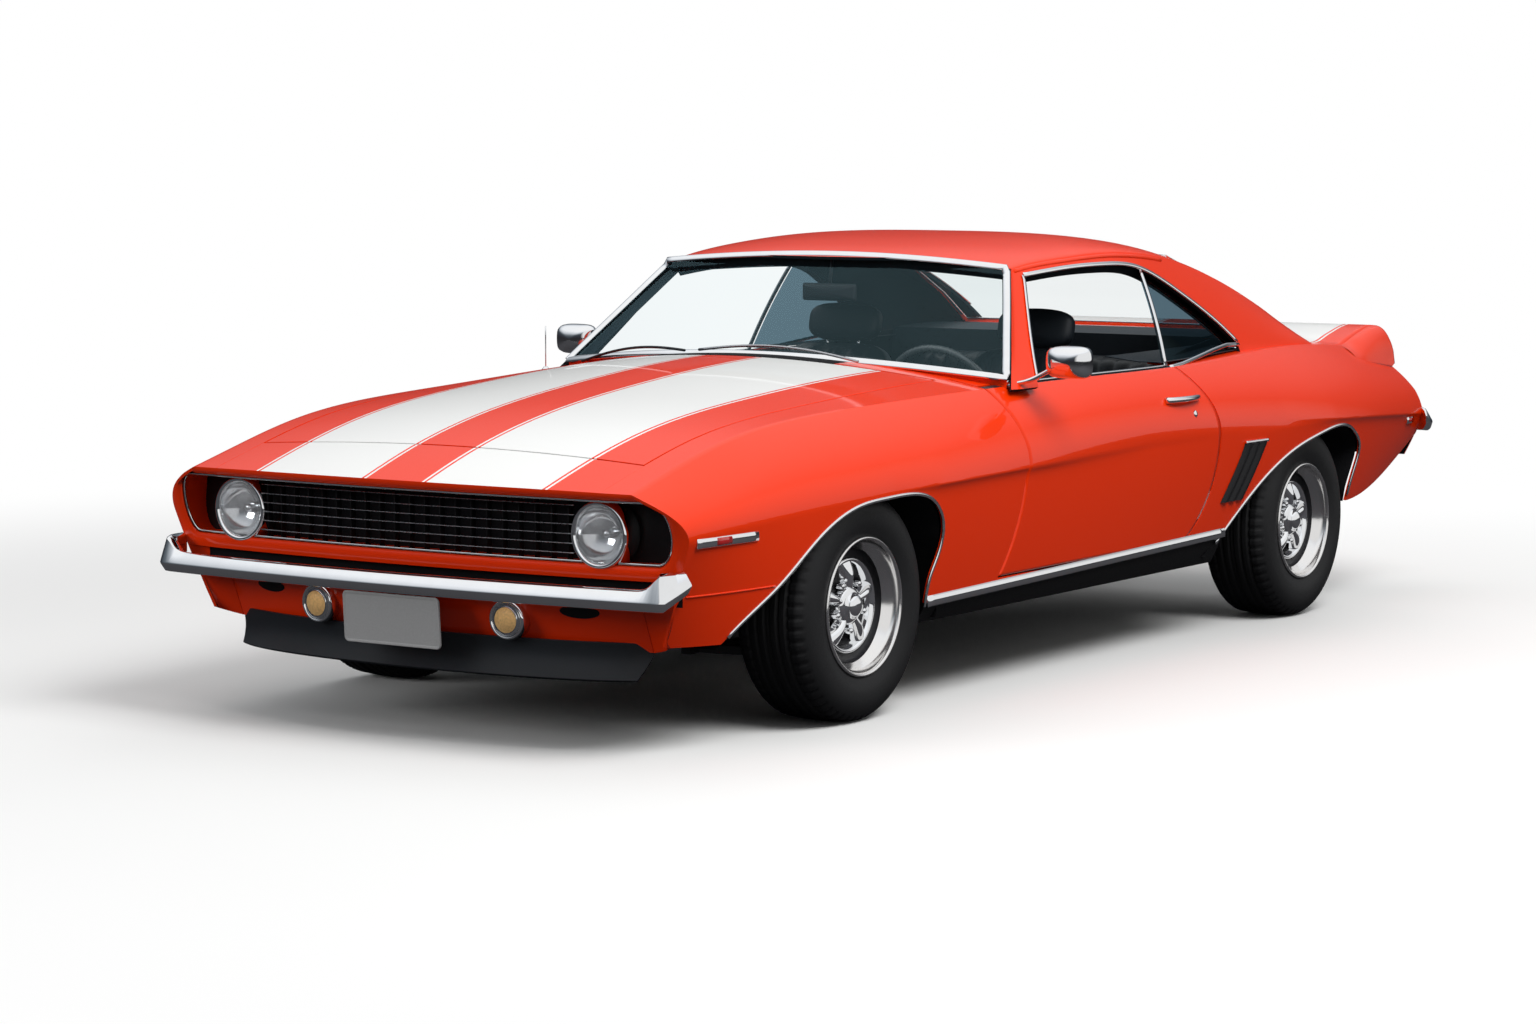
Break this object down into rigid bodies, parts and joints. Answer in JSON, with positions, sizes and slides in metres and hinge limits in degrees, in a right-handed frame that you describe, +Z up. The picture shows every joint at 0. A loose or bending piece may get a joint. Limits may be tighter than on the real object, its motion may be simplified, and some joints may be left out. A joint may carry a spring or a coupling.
{
  "type": "two-door muscle coupe",
  "caption": "Low two-door coupe with long hood, short deck and spoiler; doors, hood and trunk lid open, wheels roll and the front pair steers.",
  "frame": {"origin": "on the ground under the middle of the overall length and width", "axes": "+X to the car's left, +Y to the rear, +Z up"},
  "size_m": [2.02, 4.724, 1.2972],
  "materials": {
    "body_paint": "high gloss",
    "black_paint": "satin",
    "chrome": "polished",
    "glass": "clear",
    "lamp_glass": "fluted",
    "amber_lens": "gloss",
    "red_lens": "gloss",
    "grille_black": "satin",
    "plate": "matt",
    "steel": "dull",
    "tank": "satin",
    "iron": "painted",
    "trim_black": "matt",
    "seat_vinyl": "satin",
    "tyre": "matt",
    "rim": "polished"
  },
  "bodies": {
    "body": {"cabin_mirror": "trim_black", "chin_spoiler": "black_paint", "cowl_panel": "body_paint", "dashboard": "trim_black", "deck_filler": "body_paint", "driveshaft": "steel", "engine": "iron", "exhaust": "steel", "floor_pan": "black_paint", "front_bumper": "chrome", "front_fenders": "body_paint", "front_seats": "seat_vinyl", "front_subframe": "black_paint", "front_valance": "body_paint", "fuel_tank": "tank", "grille": "grille_black", "headlamps": "lamp_glass", "nose_panel": "body_paint", "number_plate": "plate", "parking_lamps": "amber_lens", "quarter_panels": "body_paint", "quarter_windows": "glass", "rear_axle": "steel", "rear_bumper": "chrome", "rear_seat": "seat_vinyl", "rear_window": "glass", "rocker_panels": "body_paint", "roof_shell": "body_paint", "tail_lamps": "red_lens", "tail_panel": "body_paint", "windshield": "glass"},
    "hood": {"hood": "body_paint"},
    "trunk_lid": {"trunk_lid": "body_paint"},
    "door_left": {"door_left": "body_paint", "door_fittings_left": "chrome"},
    "door_right": {"door_right": "body_paint", "door_fittings_right": "chrome"},
    "knuckle_left": {"knuckle_left": "steel"},
    "knuckle_right": {"knuckle_right": "steel"},
    "steering_wheel": {"steering_wheel": "trim_black"},
    "wheel_front_left": {"tyre_front_left": "tyre", "rim_front_left": "rim"},
    "wheel_front_right": {"tyre_front_right": "tyre", "rim_front_right": "rim"},
    "wheel_rear_left": {"tyre_rear_left": "tyre", "rim_rear_left": "rim"},
    "wheel_rear_right": {"tyre_rear_right": "tyre", "rim_rear_right": "rim"}
  },
  "joints": [
    {"name": "door_left_hinge", "type": "hinge", "parent": "body", "child": "door_left", "pos_m": [0.872, -0.735, 0.585], "axis": [0, 0, -1], "range_deg": [0, 65]},
    {"name": "door_right_hinge", "type": "hinge", "parent": "body", "child": "door_right", "pos_m": [-0.872, -0.735, 0.585], "axis": [0, 0, 1], "range_deg": [0, 65]},
    {"name": "hood_hinge", "type": "hinge", "parent": "body", "child": "hood", "pos_m": [0, -0.63, 0.875], "axis": [-1, 0, 0], "range_deg": [0, 50]},
    {"name": "trunk_hinge", "type": "hinge", "parent": "body", "child": "trunk_lid", "pos_m": [0, 1.74, 0.876], "axis": [1, 0, 0], "range_deg": [0, 60]},
    {"name": "steer_left", "type": "hinge", "parent": "body", "child": "knuckle_left", "pos_m": [0.7, -1.397, 0.32], "axis": [0, 0, 1], "range_deg": [-30, 30]},
    {"name": "steer_right", "type": "hinge", "parent": "body", "child": "knuckle_right", "pos_m": [-0.7, -1.397, 0.32], "axis": [0, 0, 1], "range_deg": [-30, 30]},
    {"name": "steering_wheel_turn", "type": "hinge", "parent": "body", "child": "steering_wheel", "pos_m": [0.36, -0.215, 0.74], "axis": [0, 0.9272, 0.3746], "range_deg": [-480, 480]},
    {"name": "spin_front_left", "type": "hinge", "parent": "knuckle_left", "child": "wheel_front_left", "pos_m": [0.757, -1.397, 0.32], "axis": [1, 0, 0], "continuous": true},
    {"name": "spin_rear_left", "type": "hinge", "parent": "body", "child": "wheel_rear_left", "pos_m": [0.762, 1.349, 0.32], "axis": [1, 0, 0], "continuous": true},
    {"name": "spin_front_right", "type": "hinge", "parent": "knuckle_right", "child": "wheel_front_right", "pos_m": [-0.757, -1.397, 0.32], "axis": [1, 0, 0], "continuous": true},
    {"name": "spin_rear_right", "type": "hinge", "parent": "body", "child": "wheel_rear_right", "pos_m": [-0.762, 1.349, 0.32], "axis": [1, 0, 0], "continuous": true}
  ],
  "couplings": [
    {"joint": "steer_right", "follows": "steer_left", "ratio": 1},
    {"joint": "steering_wheel_turn", "follows": "steer_left", "ratio": 16}
  ]
}
